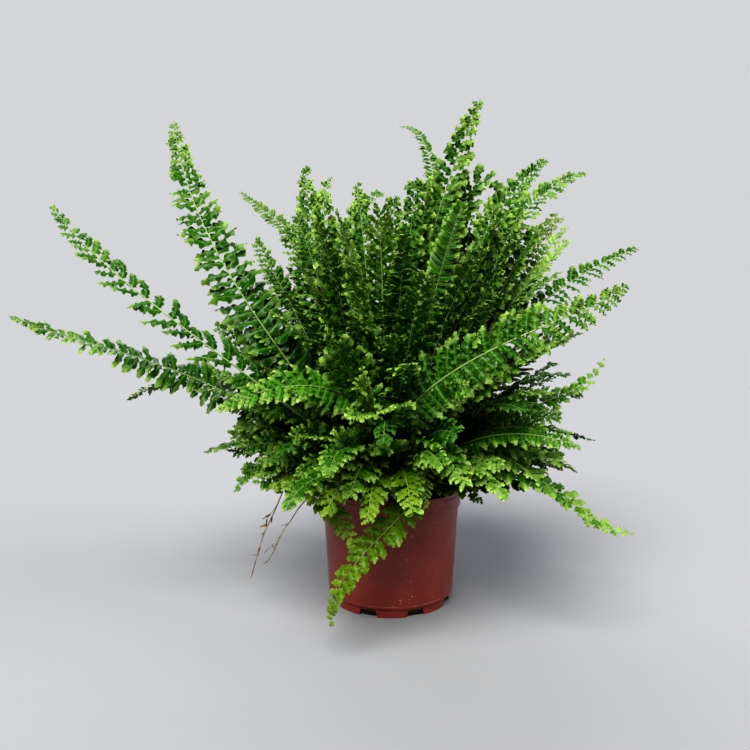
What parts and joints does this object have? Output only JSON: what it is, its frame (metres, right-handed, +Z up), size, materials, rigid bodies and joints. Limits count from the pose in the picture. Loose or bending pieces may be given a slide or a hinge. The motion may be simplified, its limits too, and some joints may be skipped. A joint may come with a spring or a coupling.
{
  "type": "potted fern",
  "caption": "A young fern with arching toothed fronds, growing from a scaly crown in a small round terracotta-coloured plastic pot.",
  "frame": {"origin": "middle of the pot's underside, on the surface that the pot stands on", "axes": "+Z up out of the pot; -Y is the front of the plant, where the short stems hang over the rim; +X is to the right seen from the front"},
  "size_m": [0.3636, 0.3378, 0.3202],
  "materials": {
    "pot_plastic": "terracotta-brown moulded plastic with a low sheen, lightly scuffed",
    "compost": "dark crumbly peat compost",
    "crown_scales": "brown hairy scales over the crown",
    "fern_leaf": "fresh green leaf with a soft sheen, lighter at the young tips",
    "dry_stalk": "dry straw-coloured stalk"
  },
  "bodies": {
    "root": {"pot": "pot_plastic", "compost": "compost", "crown": "crown_scales", "dry_stalk_long": "dry_stalk", "dry_stalk_short": "dry_stalk", "frond_back_left": "fern_leaf", "frond_front_dark": "fern_leaf", "frond_front_fine": "fern_leaf", "frond_front_hang": "fern_leaf", "frond_front_hang_short": "fern_leaf", "frond_hook": "fern_leaf", "frond_inner_01": "fern_leaf", "frond_inner_02": "fern_leaf", "frond_inner_03": "fern_leaf", "frond_inner_04": "fern_leaf", "frond_inner_05": "fern_leaf", "frond_inner_06": "fern_leaf", "frond_inner_07": "fern_leaf", "frond_inner_08": "fern_leaf", "frond_inner_09": "fern_leaf", "frond_inner_10": "fern_leaf", "frond_inner_11": "fern_leaf", "frond_inner_12": "fern_leaf", "frond_inner_13": "fern_leaf", "frond_inner_14": "fern_leaf", "frond_inner_15": "fern_leaf", "frond_inner_16": "fern_leaf", "frond_inner_17": "fern_leaf", "frond_inner_18": "fern_leaf", "frond_inner_19": "fern_leaf", "frond_inner_20": "fern_leaf", "frond_inner_21": "fern_leaf", "frond_inner_22": "fern_leaf", "frond_inner_23": "fern_leaf", "frond_inner_24": "fern_leaf", "frond_inner_25": "fern_leaf", "frond_inner_26": "fern_leaf", "frond_left_bright": "fern_leaf", "frond_left_droop": "fern_leaf", "frond_left_low": "fern_leaf", "frond_left_mid": "fern_leaf", "frond_left_tall": "fern_leaf", "frond_left_under": "fern_leaf", "frond_right": "fern_leaf", "frond_right_big": "fern_leaf", "frond_right_curl": "fern_leaf", "frond_right_dark": "fern_leaf", "frond_right_flat": "fern_leaf", "frond_right_low": "fern_leaf", "frond_right_pale": "fern_leaf", "frond_right_pale_back": "fern_leaf", "frond_right_up": "fern_leaf", "frond_right_up_back": "fern_leaf", "frond_rim_right": "fern_leaf", "frond_rim_right_short": "fern_leaf", "frond_top": "fern_leaf", "frond_up_left": "fern_leaf", "frond_up_left_short": "fern_leaf", "frond_up_middle": "fern_leaf", "frond_up_middle_back": "fern_leaf"}
  },
  "joints": []
}
